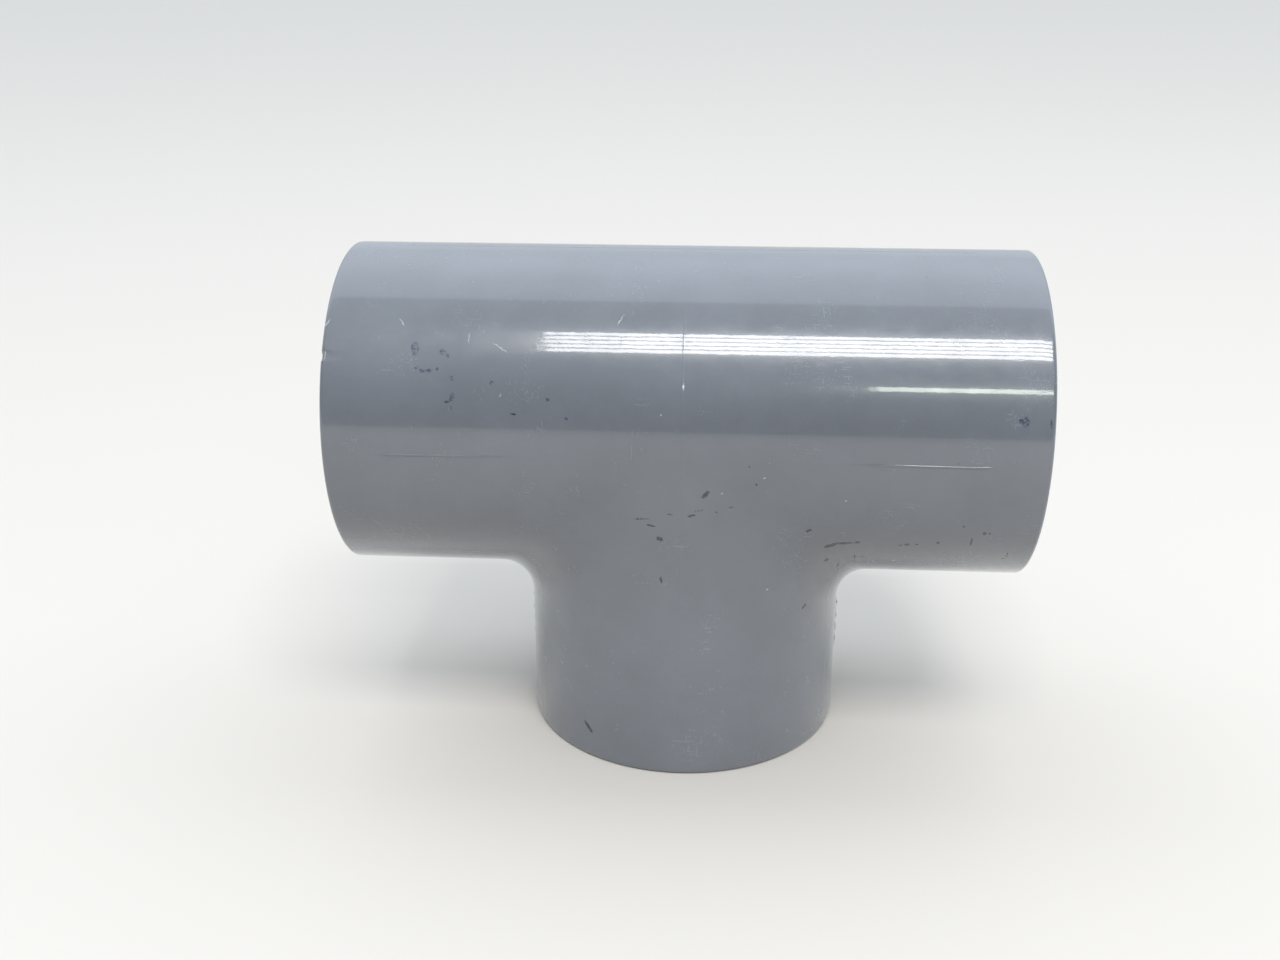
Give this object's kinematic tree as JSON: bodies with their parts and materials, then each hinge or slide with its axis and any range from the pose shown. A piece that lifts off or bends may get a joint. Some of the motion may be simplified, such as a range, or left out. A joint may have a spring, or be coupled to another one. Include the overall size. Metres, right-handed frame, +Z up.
{
  "type": "pvc tee fitting",
  "caption": "Equal tee in grey PVC with solvent-weld sockets on the run and the branch, blended crotches and fine mould lines; nominal 3/4 inch.",
  "frame": {"origin": "centre of the branch socket's mouth plane, which is the face the fitting stands on", "axes": "+X along the run to the right-hand socket, +Y level and square to the run, +Z up from the branch's mouth to the run's axis"},
  "size_m": [0.0794, 0.0386, 0.0589],
  "materials": {
    "grey_pvc": "moulded grey PVC, semi-gloss, lightly scuffed and scratched"
  },
  "bodies": {
    "root": {"tee_body": "grey_pvc"}
  },
  "joints": []
}
